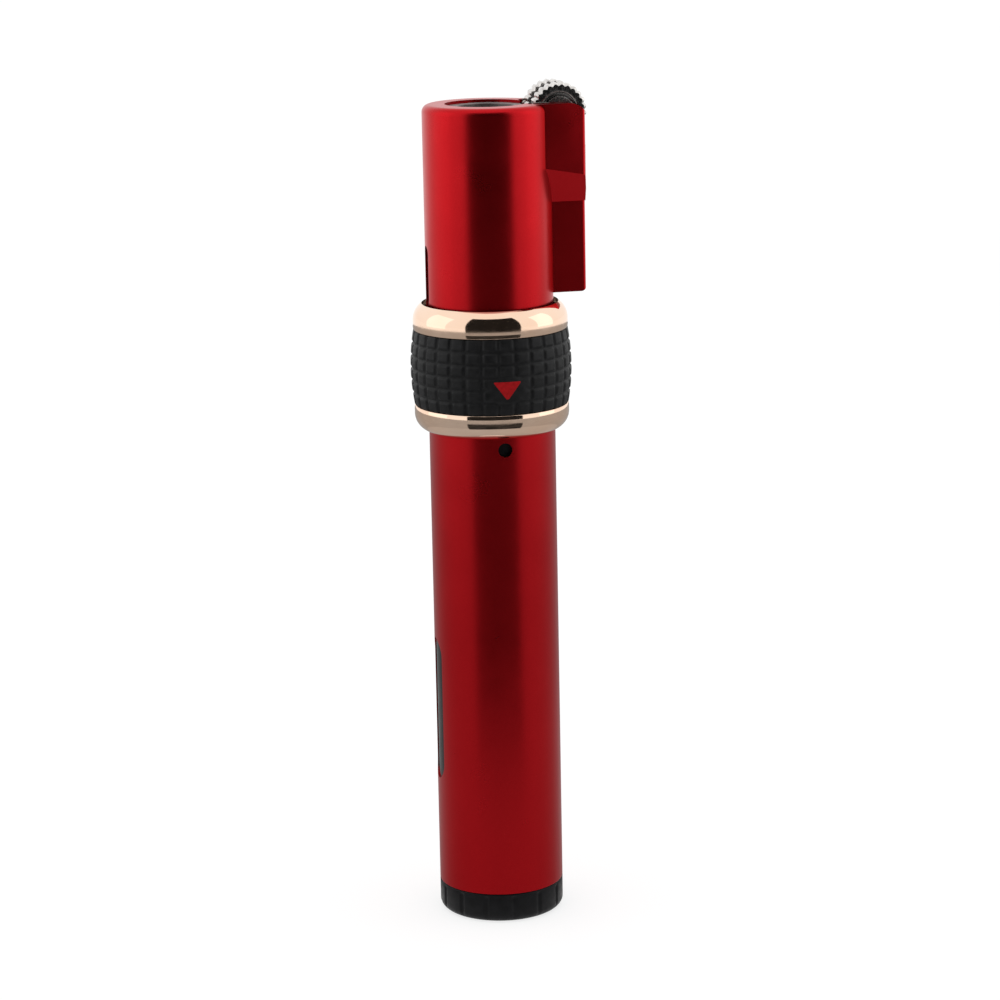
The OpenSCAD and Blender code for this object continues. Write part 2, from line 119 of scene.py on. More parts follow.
def rounded(points, radius, count=3):
    """A closed profile with each corner replaced by a small arc-like curve."""
    made = []
    for i, here in enumerate(points):
        p = Vector(here)
        before = Vector(points[i - 1]) - p
        after = Vector(points[(i + 1) % len(points)]) - p
        cut = min(radius, before.length * 0.45, after.length * 0.45)
        a = p + before.normalized() * cut
        b = p + after.normalized() * cut
        if before.normalized().angle(-after.normalized(), 0) < math.radians(12):
            made.append((p.x, p.y))
            continue
        for k in range(count + 1):
            t = k / count
            q = a * (1 - t) ** 2 + p * 2 * t * (1 - t) + b * t * t
            made.append((q.x, q.y))
    return made


def refined(points, longest):
    """A closed outline with its long sides cut into short ones."""
    made = []
    for i, point in enumerate(points):
        a, b = Vector(point), Vector(points[(i + 1) % len(points)])
        count = max(1, math.ceil((b - a).length / longest))
        made += [tuple(a.lerp(b, k / count)) for k in range(count)]
    return made


def lathe_mesh(profile, segments, shape=None):
    """A closed profile of (radius, height) points turned about Z.

    shape(r, z, angle) may change the radius.
    """
    bm = bmesh.new()
    rings = []
    for r, z in profile:
        ring = []
        for s in range(segments):
            a = TURN * s / segments
            radius = shape(r, z, a) if shape else r
            ring.append(bm.verts.new((radius * math.cos(a), radius * math.sin(a), z)))
        rings.append(ring)
    for i, ring in enumerate(rings):
        after = rings[(i + 1) % len(rings)]
        if profile[i][0] == 0 and profile[(i + 1) % len(profile)][0] == 0:
            continue
        for s in range(segments):
            t = (s + 1) % segments
            bm.faces.new((ring[s], ring[t], after[t], after[s]))
    return bm


def lathe(name, profile, segments=256, shape=None):
    return finish_mesh(name, lathe_mesh(profile, segments, shape))


def prism(name, outline, low_end, high_end, to_frame):
    """An outline extruded between two heights, then placed by to_frame."""
    bm = bmesh.new()
    bottom = [bm.verts.new((x, y, low_end)) for x, y in outline]
    top = [bm.verts.new((x, y, high_end)) for x, y in outline]
    bm.faces.new(bottom[::-1])
    bm.faces.new(top)
    for i, v in enumerate(bottom):
        n = (i + 1) % len(bottom)
        bm.faces.new((v, bottom[n], top[n], top[i]))
    bmesh.ops.transform(bm, matrix=to_frame, verts=bm.verts)
    return finish_mesh(name, bm)


def box_piece(name, corner, size):
    """A box, upright, from its lowest corner and its size."""
    x, y = corner[0], corner[1]
    outline = [(x, y), (x + size[0], y), (x + size[0], y + size[1]), (x, y + size[1])]
    return prism(name, outline, corner[2], corner[2] + size[2], UPRIGHT)


def rod_piece(name, centre, r, z0, z1, segments=96):
    """An upright rod used as a cutter."""
    circle = arc(0, 0, r, 0, 360 - 360 / segments, segments - 1)
    outline = [(centre[0] + x, centre[1] + y) for x, y in circle]
    return prism(name, outline, z0, z1, UPRIGHT)


def slot_outline(width, z0, z1):
    """A slot with round ends: x across, y along."""
    r = width / 2
    return arc(0, z1 - r, r, 0, 180, 24) + arc(0, z0 + r, r, 180, 360, 24)


def combine(obj, other, operation):
    """Boolean of obj with other, kept in obj's own mesh."""
    mod = obj.modifiers.new("combine", "BOOLEAN")
    mod.operation = operation
    mod.solver = "EXACT"
    mod.object = other
    bake(obj)
    bpy.data.objects.remove(other)
    return obj


def bake(obj):
    """Puts the modifiers' result into the mesh."""
    graph = bpy.context.evaluated_depsgraph_get()
    mesh = bpy.data.meshes.new_from_object(obj.evaluated_get(graph))
    obj.modifiers.clear()
    obj.data = mesh


def soften(obj, width, segments=2, angle=28, radius=None):
    """Small rounded edges and smooth faces. A wall at the given radius gets true radial normals."""
    obj.data.shade_smooth()
    bevel = obj.modifiers.new("edges", "BEVEL")
    bevel.harden_normals = True
    bevel.width = width
    bevel.segments = segments
    bevel.limit_method = "ANGLE"
    bevel.angle_limit = math.radians(angle)
    bevel.use_clamp_overlap = True
    bake(obj)
    if radius:
        round_normals(obj, radius)
    return obj


def round_normals(obj, radius):
    """Radial normals on the round wall of a shell, so that cuts in it don't disturb its reflections."""
    mesh = obj.data
    near = 0.004
    normals = [Vector(n.vector) for n in mesh.corner_normals]
    for loop in mesh.loops:
        co = mesh.vertices[loop.vertex_index].co
        flat = Vector((co.x, co.y, 0))
        if abs(flat.length - radius) > near:
            continue
        out = flat.normalized()
        if normals[loop.index].dot(out) > 0.75 and co.z < TOP_Z - 1.2:
            normals[loop.index] = out
    mesh.normals_split_custom_set(normals)


def smooth(obj, angle=32):
    obj.data.shade_smooth()
    obj.data.set_sharp_from_angle(angle=math.radians(angle))
    return obj


def dress(obj, material, slot, body, *nodes):
    """To metres, then material, body and the CAD nodes that the piece stands for. The slot argument is not
    used.
    """
    obj.data.transform(Matrix.Scale(MM, 4))
    obj.data.materials.clear()
    obj.data.materials.append(material)
    if nodes:
        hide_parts(*nodes)
    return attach(obj, body)


# ---------- materials ----------


class Look:
    """One material's node tree, with short calls for what all the materials share."""

    def __init__(self, name):
        self.material = bpy.data.materials.new(name)
        self.material.use_nodes = True
        self.nodes = self.material.node_tree.nodes
        self.links = self.material.node_tree.links
        self.shader = self.nodes["Principled BSDF"]
        self.place = self.nodes.new("ShaderNodeTexCoord").outputs["Object"]

    def set(self, **values):
        for key, value in values.items():
            self.shader.inputs[key.replace("_", " ")].default_value = value
        return self

    def noise(self, size_mm, detail=3.0, stretch=(1, 1, 1)):
        """Noise whose features are about size_mm wide."""
        mapping = self.nodes.new("ShaderNodeMapping")
        mapping.inputs["Scale"].default_value = stretch
        self.links.new(self.place, mapping.inputs["Vector"])
        node = self.nodes.new("ShaderNodeTexNoise")
        node.inputs["Scale"].default_value = 1 / (size_mm * MM)
        node.inputs["Detail"].default_value = detail
        self.links.new(mapping.outputs["Vector"], node.inputs["Vector"])
        return node.outputs["Fac"]

    def spread(self, source, low_value, high_value, start=0.3, end=0.7):
        node = self.nodes.new("ShaderNodeMapRange")
        limits = {"From Min": start, "From Max": end, "To Min": low_value, "To Max": high_value}
        for key, value in limits.items():
            node.inputs[key].default_value = value
        self.links.new(source, node.inputs["Value"])
        return node.outputs["Result"]

    def colours(self, source, first, second, start=0.35, end=0.65):
        ramp = self.nodes.new("ShaderNodeValToRGB")
        ramp.color_ramp.elements[0].position = start
        ramp.color_ramp.elements[1].position = end
        ramp.color_ramp.elements[0].color = (*first, 1)
        ramp.color_ramp.elements[1].color = (*second, 1)
        self.links.new(source, ramp.inputs["Fac"])
        self.links.new(ramp.outputs["Color"], self.shader.inputs["Base Color"])
        return self

    def roughness(self, source, low_value, high_value):
        self.links.new(self.spread(source, low_value, high_value), self.shader.inputs["Roughness"])
        return self

    def bump(self, source, height_mm, strength=1.0):
        node = self.nodes.new("ShaderNodeBump")
        node.inputs["Distance"].default_value = height_mm * MM
        node.inputs["Strength"].default_value = strength
        self.links.new(source, node.inputs["Height"])
        self.links.new(node.outputs["Normal"], self.shader.inputs["Normal"])
        return self


def candy_red():
    """Satin metallic lacquer: fine flakes under a soft sheen."""
    look = Look("candy_red_lacquer").set(Metallic=1.0)
    flakes = look.noise(0.07, 2.0)
    look.colours(flakes, (0.47, 0.008, 0.012), (0.58, 0.014, 0.019))
    look.roughness(look.noise(6.0, 4.0), 0.27, 0.32)
    return look.bump(flakes, 0.004, 0.35).material


def rose_gold():
    look = Look("rose_gold_plate").set(Metallic=1.0)
    look.colours(look.noise(9.0, 2.0), (0.97, 0.68, 0.5), (0.99, 0.74, 0.57))
    look.roughness(look.noise(2.5, 5.0), 0.04, 0.09)
    return look.bump(look.noise(4.0, 2.0), 0.004, 0.3).material


def grip_rubber():
    look = Look("grip_rubber").set(Specular_IOR_Level=0.22)
    look.colours(look.noise(1.2, 5.0), (0.004, 0.0042, 0.0045), (0.008, 0.008, 0.0086))
    look.roughness(look.noise(0.9, 4.0), 0.42, 0.58)
    return look.bump(look.noise(0.12, 3.0), 0.015, 0.5).material


def mark_paint():
    look = Look("mark_red_paint").set(Specular_IOR_Level=0.08)
    look.colours(look.noise(0.6, 3.0), (0.2, 0.002, 0.003), (0.26, 0.003, 0.005))
    look.roughness(look.noise(0.5, 3.0), 0.35, 0.5)
    return look.bump(look.noise(0.1), 0.008, 0.4).material


def cap_plastic():
    """Moulded black plastic with a fine spark-eroded texture."""
    look = Look("cap_black_plastic").set(Specular_IOR_Level=0.14)
    look.colours(look.noise(1.5, 5.0), (0.0025, 0.0025, 0.003), (0.005, 0.005, 0.0058))
    look.roughness(look.noise(0.8, 4.0), 0.36, 0.5)
    return look.bump(look.noise(0.09, 3.0), 0.012, 0.5).material


def heated_metal():
    look = Look("heat_darkened_metal").set(Metallic=0.7)
    look.colours(look.noise(2.2, 5.0), (0.10, 0.085, 0.082), (0.2, 0.175, 0.17))
    look.roughness(look.noise(1.1, 4.0), 0.35, 0.55)
    return look.bump(look.noise(0.2, 4.0), 0.01, 0.5).material


def smoked_plastic():
    look = Look("smoked_clear_plastic").set(Transmission_Weight=0.05, Specular_IOR_Level=0.12)
    look.colours(look.noise(5.0, 2.0), (0.006, 0.0045, 0.0045), (0.012, 0.009, 0.009))
    look.roughness(look.noise(2.0, 3.0), 0.16, 0.24)
    return look.bump(look.noise(3.0), 0.01, 0.2).material


def tank_plastic():
    look = Look("tank_nylon").set(Subsurface_Weight=0.1, Subsurface_Scale=0.002)
    look.colours(look.noise(3.0, 4.0), (0.05, 0.042, 0.038), (0.085, 0.07, 0.062))
    look.roughness(look.noise(1.0, 3.0), 0.3, 0.42)
    return look.bump(look.noise(0.5), 0.01, 0.3).material


def turned_metal(name, dark, light, rough_low, rough_high):
    """Metal with fine lines round the torch's axis and slight tarnish."""
    look = Look(name).set(Metallic=1.0)
    look.colours(look.noise(1.5, 5.0), dark, light)
    look.roughness(look.noise(0.4, 4.0), rough_low, rough_high)
    return look.bump(look.noise(1.0, 3.0, stretch=(0.2, 0.2, 12)), 0.006, 0.5).material


def black_nickel():
    look = Look("black_nickel_plate").set(Metallic=1.0)
    look.colours(look.noise(1.0, 5.0), (0.30, 0.29, 0.285), (0.46, 0.45, 0.44))
    look.roughness(look.noise(0.5, 4.0), 0.12, 0.24)
    return look.bump(look.noise(0.15, 3.0), 0.005, 0.4).material


def knurled_nickel():
    """Bright plate on the thumb wheels, dulled a little in random patches."""
    look = Look("bright_nickel_plate").set(Metallic=1.0)
    look.colours(look.noise(0.8, 5.0), (0.60, 0.57, 0.55), (0.82, 0.79, 0.76))
    look.roughness(look.noise(0.4, 4.0), 0.14, 0.3)
    return look.bump(look.noise(0.12, 3.0), 0.006, 0.4).material


def file_steel():
    look = Look("file_steel").set(Metallic=1.0)
    look.colours(look.noise(0.4, 5.0), (0.10, 0.095, 0.09), (0.24, 0.23, 0.22))
    look.roughness(look.noise(0.3, 4.0), 0.32, 0.5)
    return look.bump(look.noise(0.08, 4.0), 0.012, 0.6).material


def plain_plastic(name, dark, light, rough_low, rough_high):
    look = Look(name)
    look.colours(look.noise(1.4, 4.0), dark, light)
    look.roughness(look.noise(0.7, 4.0), rough_low, rough_high)
    return look.bump(look.noise(0.15, 3.0), 0.01, 0.4).material


LOOKS = {
    "body_red": candy_red(),
    "trim_gold": rose_gold(),
    "grip_rubber": grip_rubber(),
    "mark_red": mark_paint(),
    "cap_black": cap_plastic(),
    "mouth_grey": heated_metal(),
    "smoked": smoked_plastic(),
    "tank": tank_plastic(),
    "brass": turned_metal("turned_brass", (0.55, 0.36, 0.13), (0.72, 0.5, 0.2), 0.2, 0.34),
    "steel": turned_metal("turned_steel", (0.42, 0.42, 0.43), (0.6, 0.6, 0.61), 0.24, 0.38),
    "black_nickel": black_nickel(),
    "file_steel": file_steel(),
    "zinc": turned_metal("cast_zinc", (0.3, 0.3, 0.31), (0.42, 0.42, 0.44), 0.4, 0.55),
    "seal": plain_plastic("nitrile_seal", (0.012, 0.012, 0.012), (0.022, 0.022, 0.022), 0.5, 0.65),
    "white_plastic": plain_plastic("acetal", (0.58, 0.56, 0.5), (0.68, 0.66, 0.6), 0.35, 0.48),
    "flint": plain_plastic("pressed_flint", (0.05, 0.045, 0.04), (0.11, 0.1, 0.09), 0.55, 0.7),
}
PLATED_RIM = knurled_nickel()


def dress_cad_nodes():
    """Every CAD node gets its slot's material, whether it stays in view or not."""
    for part in frame["record"]["subparts"]:
        data = NODES[part["node"]].data
        data.materials.clear()
        data.materials.append(LOOKS[part["material_slot"]])


# ---------- shells and base ----------


def make_lower_shell():
    """Long red tube with the window's slot on its left and the index hole in front."""
    seam = 0.06
    z_low = BASE_H + seam
    profile = rounded([(BODY_R, z_low), (BODY_R, SHELL_TOP), (BORE_R, SHELL_TOP), (BORE_R, z_low)], 0.12)
    shell = lathe("lower_shell_tube", profile)
    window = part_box("fuel_window")
    width = (window[1].y - window[0].y) / MM + 2 * seam
    z0, z1 = window[0].z / MM - seam, window[1].z / MM + seam
    slot = prism("cut", slot_outline(width, z0, z1), BORE_R - 1, BODY_R + 1, TOWARDS_LEFT)
    combine(shell, slot, "DIFFERENCE")
    hole_z, hole_r = 81.5, 1.175
    to_hole = Matrix.Translation((0, 0, hole_z)) @ TOWARDS_FRONT
    hole = prism("cut", arc(0, 0, hole_r, 0, 352.5, 47), BORE_R - 1, BODY_R + 1, to_hole)
    combine(shell, hole, "DIFFERENCE")
    soften(shell, 0.09, radius=BODY_R)
    dress(shell, LOOKS["body_red"], "body_red", "torch_body", "lower_shell")


def make_base_cap():
    """Black foot with shallow grooves, and the recesses of the refill valve and the adjuster."""
    edge_r = 1.4
    count = 14
    groove_depth = 0.22
    groove_half = 0.55
    spigot_bore_r = 8.85
    port_r, valve_r, adjuster_r = 2.2, 3.0, 1.95

    def grooves(r, z, angle):
        if r < BODY_R - 0.5 or z < 0.3 or z > BASE_H - 0.3:
            return r
        turn = angle / TURN * count - 0.5
        off = abs(turn - round(turn)) * TURN / count * BODY_R
        across = max(0.0, 1 - (off / groove_half) ** 2)
        up = min(1.0, (z - 0.3) / 1.2, (BASE_H - 0.25 - z) / 0.35)
        return r - groove_depth * across * across * max(0.0, up)

    spigot_top = high("base_cap", 2)
    profile = [(0, 0), (BODY_R - edge_r, 0)]
    profile += arc(BODY_R - edge_r, edge_r, edge_r, -85, 0, 12)
    profile += [(BODY_R, edge_r + (BASE_H - edge_r - 0.35) * i / 12) for i in range(1, 13)]
    profile += [(BODY_R, BASE_H - 0.2), (BODY_R - 0.03, BASE_H - 0.12), (BODY_R - 0.12, BASE_H - 0.04)]
    profile += [(BODY_R - 0.25, BASE_H), (BORE_R - 0.05, BASE_H), (BORE_R - 0.05, spigot_top)]
    profile += [(spigot_bore_r, spigot_top), (spigot_bore_r, BASE_H), (0, BASE_H)]
    cap = lathe("base_cap_moulding", profile, count * 26, grooves)
    port_x = (low("refill_pin", 0) + high("refill_pin", 0)) / 2
    combine(cap, rod_piece("cut", (port_x, 0), port_r, -1, 4), "DIFFERENCE")
    combine(cap, rod_piece("cut", (port_x, 0), valve_r, 3, BASE_H + 1), "DIFFERENCE")
    combine(cap, rod_piece("cut", (-port_x, 0), adjuster_r, -1, BASE_H + 1), "DIFFERENCE")
    soften(cap, 0.1, angle=50)
    dress(cap, LOOKS["cap_black"], "cap_black", "torch_body", "base_cap")


def make_window():
    """Smoked lens: a piece of a tube, kept where the slot is."""
    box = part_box("fuel_window")
    width = (box[1].y - box[0].y) / MM
    z0, z1 = box[0].z / MM, box[1].z / MM
    outer_r, inner_r = BODY_R - 0.3, BORE_R + 0.05
    profile = [(outer_r, z0 - 1), (outer_r, z1 + 1), (inner_r, z1 + 1), (inner_r, z0 - 1)]
    lens = lathe("fuel_window_lens", profile)
    combine(lens, prism("keep", slot_outline(width, z0, z1), 5, 15, TOWARDS_LEFT), "INTERSECT")
    soften(lens, 0.08)
    dress(lens, LOOKS["smoked"], "smoked", "torch_body", "fuel_window")


def fin_outline(half_in, half_out, corner, face_r, count=8):
    """Plan of the wheel housing: straight cheeks, small round corners and a slightly convex face."""
    face_x = FIN_X - face_r
    sag = face_r - math.sqrt(face_r ** 2 - half_out ** 2)
    edge_x = FIN_X - sag - corner
    face_half = math.degrees(math.asin((half_out - corner) / face_r))
    half = [(BODY_R - 2, -half_in), (edge_x, -half_out)]
    half += arc(edge_x, corner - half_out, corner, -90, -face_half, count)[1:]
    face = arc(face_x, 0, face_r, -face_half, face_half, count)
    mirrored = [(x, -y) for x, y in reversed(half)]
    return [(0, -half_in)] + half + face[1:-1] + mirrored + [(0, half_in)]


def corner_cutter(x, z, r, up):
    """Cutter that rounds an outer corner of the housing, seen from the front: up is 1 or -1."""
    far = r + 2
    curve = arc(x, z, r, 90 * up, 0, 16)
    outline = curve + [(x + far, z), (x + far, z + up * far), (x, z + up * far)]
    if up < 0:
        outline.reverse()
    return prism("cut", outline, -12, 12, TOWARDS_FRONT)


def make_upper_shell():
    """Red tube with the mouth in its crown and the wheel's housing and rib on its right."""
    edge_r = 1.25
    crown = 2
    fin_z0 = 105.8
    ramp_z0, ramp_z1 = 120.8, 126.7
    rib_half, cheek_half, cheek_out = 2.3, 6.3, 5.5
    slot_half, slot_floor, slot_x0 = 4.5, 130.1, 6.2
    air_z0, air_z1, air_w = 104.3, 114.2, 2.6
    face_r, plan_corner = 22, 0.5
    corner_r, foot_r = 3.4, 1
    flint_bore_r = 1.5
    mouth_hole_r, ledge_z = 5.45, TOP_Z - 0.9
    profile = [(BODY_R, UPPER_Z0)] + arc(BODY_R - edge_r, TOP_Z - edge_r, edge_r, 0, 90, 12)
    profile += [(LEDGE_R + 0.05, TOP_Z), (LEDGE_R + 0.05, ledge_z), (mouth_hole_r, ledge_z)]
    profile += [(mouth_hole_r, TOP_Z - crown), (BORE_R, TOP_Z - crown), (BORE_R, UPPER_Z0)]
    shell = lathe("upper_shell_casing", profile)
    rib_plan = fin_outline(rib_half, rib_half - 0.1, plan_corner, face_r)
    rib = prism("rib", rib_plan, fin_z0, TOP_Z - 0.5, UPRIGHT)
    cheeks_plan = fin_outline(cheek_half, cheek_out, plan_corner, face_r)
    cheeks = prism("cheeks", cheeks_plan, ramp_z0, TOP_Z, UPRIGHT)
    for side in (-1, 1):
        wedge = [(rib_half, ramp_z0 - 1), (rib_half, ramp_z0), (cheek_half + 0.01, ramp_z1),
                 (cheek_half + 3, ramp_z1), (cheek_half + 3, ramp_z0 - 1)]
        outline = [(side * y, z) for y, z in wedge]
        combine(cheeks, prism("cut", outline, -1, FIN_X + 4, ALONG_X), "DIFFERENCE")
    combine(cheeks, rib, "UNION")
    combine(cheeks, corner_cutter(FIN_X - corner_r, TOP_Z - corner_r, corner_r, 1), "DIFFERENCE")
    combine(cheeks, corner_cutter(FIN_X - foot_r, fin_z0 + foot_r, foot_r, -1), "DIFFERENCE")
    # The housing's inner end stops inside the wall, and further in where the crown is
    in_wall, in_crown = BODY_R - 0.37, BODY_R - 2.4
    combine(cheeks, rod_piece("cut", (0, 0), in_wall, fin_z0 - 1, TOP_Z - 1.5, 200), "DIFFERENCE")
    combine(cheeks, rod_piece("cut", (0, 0), in_crown, TOP_Z - 2, TOP_Z + 1, 200), "DIFFERENCE")
    combine(shell, cheeks, "UNION")
    combine(shell, box_piece("cut", (slot_x0, -slot_half, slot_floor), (12, 2 * slot_half, 10)), "DIFFERENCE")
    flint_bore = rod_piece("cut", (WHEEL_X, 0), flint_bore_r, fin_z0 - 1, slot_floor + 1, 64)
    combine(shell, flint_bore, "DIFFERENCE")
    air = prism("cut", slot_outline(air_w, air_z0, air_z1), BORE_R - 1, BODY_R + 1, TOWARDS_LEFT)
    combine(shell, air, "DIFFERENCE")
    soften(shell, 0.16, segments=3, angle=24, radius=BODY_R)
    dress(shell, LOOKS["body_red"], "body_red", "torch_body", "upper_shell")


def make_mouth_ring():
    """Grey guard round the flame mouth, with one side cut flat to clear the wheel's slot."""
    mouth_r = 4.6
    lip_low = TOP_Z - 0.88
    sleeve_r = 5.4
    z0 = low("mouth_ring", 2)
    profile = rounded([(mouth_r, z0), (sleeve_r, z0), (sleeve_r, lip_low), (LEDGE_R, lip_low),
                       (LEDGE_R, MOUTH_TOP), (mouth_r, MOUTH_TOP)], 0.16, 4)
    ring = lathe("mouth_ring_guard", profile, 192)
    flat_x = high("mouth_ring", 0)
    combine(ring, box_piece("cut", (flat_x, -8, z0 - 1), (5, 16, 8)), "DIFFERENCE")
    soften(ring, 0.06, angle=50)
    dress(ring, LOOKS["mouth_grey"], "mouth_grey", "torch_body", "mouth_ring")


# ---------- gas ring ----------


def grip_radius(z):
    """Radius of the barrel-shaped grip at a height."""
    half = (GRIP_Z1 - GRIP_Z0) / 2
    bulge = GRIP_R - TRIM_R + 0.05
    arc_r = (half ** 2 + bulge ** 2) / (2 * bulge)
    off = z - (GRIP_Z0 + GRIP_Z1) / 2
    return GRIP_R - arc_r + math.sqrt(arc_r ** 2 - off ** 2)


def step(value):
    """Smooth step from 0 to 1."""
    value = min(1.0, max(0.0, value))
    return value * value * (3 - 2 * value)


def make_grip():
    """Rubber barrel with a moulded grid of square pads round it."""
    columns, rows = 30, 6
    groove, slope, depth = 0.2, 0.38, 0.24
    fine = 14
    clear_x, clear_z = 3.4, 2.3
    height = GRIP_Z1 - GRIP_Z0
    pitch_z = height / rows

    def pads(r, z, angle):
        """Grooves between the pads, except on the inside, at the ends and round the index mark."""
        if r < CARRIER_R + 0.3:
            return r
        col = angle / TURN * columns
        across = (0.5 - abs(col - math.floor(col) - 0.5)) * TURN / columns * GRIP_R
        row = (z - GRIP_Z0) / pitch_z
        up = (0.5 - abs(row - math.floor(row) - 0.5)) * pitch_z
        if z < GRIP_Z0 + pitch_z / 2 or z > GRIP_Z1 - pitch_z / 2:
            up = max(up, groove + slope)
        raised = step((across - groove / 2) / slope) * step((up - groove / 2) / slope)
        x = r * math.cos(angle)
        y = r * math.sin(angle)
        near = math.hypot(x / clear_x, (z - (MARK_TOP + MARK_TIP) / 2) / clear_z)
        plain = 1 - step((near - 0.85) / 0.3) if y < 0 else 0.0
        return r - depth * (1 - max(raised, plain))

    count = rows * fine
    heights = [GRIP_Z0 + height * i / count for i in range(count + 1)]
    outer = [(grip_radius(z), z) for z in heights]
    outer[0] = (outer[0][0] - 0.12, outer[0][1])
    outer[-1] = (outer[-1][0] - 0.12, outer[-1][1])
    inner = [(CARRIER_R + 0.02, GRIP_Z1), (CARRIER_R + 0.02, GRIP_Z0)]
    grip = lathe("grip_barrel", outer + inner, columns * 16, pads)
    smooth(grip, 60)
    dress(grip, LOOKS["grip_rubber"], "grip_rubber", "gas_ring", "grip_sleeve")


def make_index_mark():
    """Red triangle that points down, wrapped on the grip and a hair proud of it."""
    proud, depth = 0.05, 0.5
    corner = 0.35
    tip_half = 0.2
    corners = [(-MARK_HALF, MARK_TOP), (MARK_HALF, MARK_TOP), (tip_half, MARK_TIP), (-tip_half, MARK_TIP)]
    outline = refined(rounded(corners, corner, 5), 0.3)
    bm = bmesh.new()
    middle = Vector((0, MARK_TOP - 1.1))
    rings = 8
    for level, sink in ((0, -proud), (1, depth)):
        centre = bm.verts.new((middle.x, level, middle.y))
        before = None
        for k in range(1, rings + 1):
            t = k / rings
            fall = 0.07 if (k == rings and level == 0) else 0.0
            ring = []
            for x, z in outline:
                q = middle.lerp(Vector((x, z)), t)
                r = grip_radius(q.y) - sink - fall
                ring.append(bm.verts.new((q.x, -math.sqrt(r * r - q.x * q.x), q.y)))
            for i, v in enumerate(ring):
                n = (i + 1) % len(ring)
                if before:
                    bm.faces.new((v, ring[n], before[n], before[i]))
                else:
                    bm.faces.new((v, ring[n], centre))
            before = ring
        centre.co = (middle.x, -(grip_radius(middle.y) - sink), middle.y)
        if level == 0:
            front = before
        else:
            for i, v in enumerate(before):
                n = (i + 1) % len(before)
                bm.faces.new((v, before[n], front[n], front[i]))
    mark = smooth(finish_mesh("index_triangle", bm), 40)
    dress(mark, LOOKS["mark_red"], "mark_red", "gas_ring", "index_mark")


def trim_profile(shoulder_r, lip_r, height):
    """Profile with the lip at z = 0: round shoulder, band, then back down the inside."""
    lip_t = 1.0
    arc_x = TRIM_R - shoulder_r
    arc_z = math.sqrt(shoulder_r ** 2 - (lip_r - arc_x) ** 2)
    start = math.degrees(math.atan2(-arc_z, lip_r - arc_x))
    points = arc(arc_x, arc_z, shoulder_r, start, 0, 28)
    crest = height - 0.16
    points += [(TRIM_R, crest - 0.6), (TRIM_R - 0.01, crest - 0.3), (TRIM_R - 0.05, crest)]
    points += arc(TRIM_R - 0.21, height - 0.16, 0.16, 0, 90, 5)
    inner = CARRIER_R + 0.02
    points += [(inner, height), (inner, lip_t), (lip_r + 0.15, lip_t), (lip_r, lip_t - 0.12), (lip_r, 0.1)]
    return points


def make_trim_ring(name, node, shoulder_r, lip_r, upward):
    z0, z1 = low(node, 2), high(node, 2)
    profile = trim_profile(shoulder_r, lip_r, z1 - z0)
    placed = [(r, z0 + z) if upward else (r, z1 - z) for r, z in profile]
    ring = smooth(lathe(name, placed, 320), 40)
    dress(ring, LOOKS["trim_gold"], "trim_gold", "gas_ring", node)


# ---------- spark wheel ----------


def place_wheel(obj):
    obj.data.transform(TO_WHEEL)
    return obj


def make_thumb_wheel(name, node, side):
    """Thumb wheel with round-bottomed teeth, a bevelled rim and a stepped, polished outer face."""
    teeth = 24
    depth = 0.34
    bore = 1.05
    near = min(abs(low(node, 1)), abs(high(node, 1)))
    far = max(abs(low(node, 1)), abs(high(node, 1)))

    def toothed(r, z, angle):
        weight = step((r - (THUMB_R - 0.95)) / 0.75)
        wave = 0.5 - 0.5 * math.cos(angle * teeth)
        return r - depth * weight * (1 - wave ** 0.55)

    sunk = far - 0.28
    corners = [(bore, near), (THUMB_R - 0.3, near), (THUMB_R, near + 0.25), (THUMB_R, far - 0.3)]
    corners += [(THUMB_R - 0.38, far), (3.1, far), (2.8, sunk), (1.9, sunk), (bore, sunk)]
    profile = rounded(corners, 0.07, 2)
    wheel = lathe(name, [(r, side * z) for r, z in profile], teeth * 16, toothed)
    place_wheel(wheel)
    smooth(wheel, 38)
    dress(wheel, LOOKS["black_nickel"], "black_nickel", "spark_wheel_set", node)
    wheel.data.materials.append(PLATED_RIM)
    centre = Vector((WHEEL_X, 0, WHEEL_Z)) * MM
    rim_from = (THUMB_R - 0.55) * MM
    for face in wheel.data.polygons:
        out = Vector((face.center.x - centre.x, 0, face.center.z - centre.z))
        on_rim = abs(face.normal.y) < 0.9
        face.material_index = 1 if out.length > rim_from and on_rim else 0


def make_file_wheel():
    """Hardened wheel with two crossed sets of file teeth."""
    teeth = 40
    depth = 0.3
    bore = 1.05
    half = high("spark_wheel", 1)
    rows = 28
    outer = [(FILE_R, -half + 2 * half * i / rows) for i in range(rows + 1)]
    profile = [(bore, -half)] + outer + [(bore, half)]

    def filed(r, z, angle):
        if r < FILE_R - 0.5:
            return r
        lean = z / half * 0.5
        first = abs((angle / TURN * teeth + lean) % 1 - 0.5) * 2
        second = abs((angle / TURN * teeth - lean) % 1 - 0.5) * 2
        return r - depth * (1 - min(first, second) ** 0.8)

    wheel = lathe("file_wheel", profile, teeth * 12, filed)
    place_wheel(wheel)
    smooth(wheel, 34)
    dress(wheel, LOOKS["file_steel"], "file_steel", "spark_wheel_set", "spark_wheel")


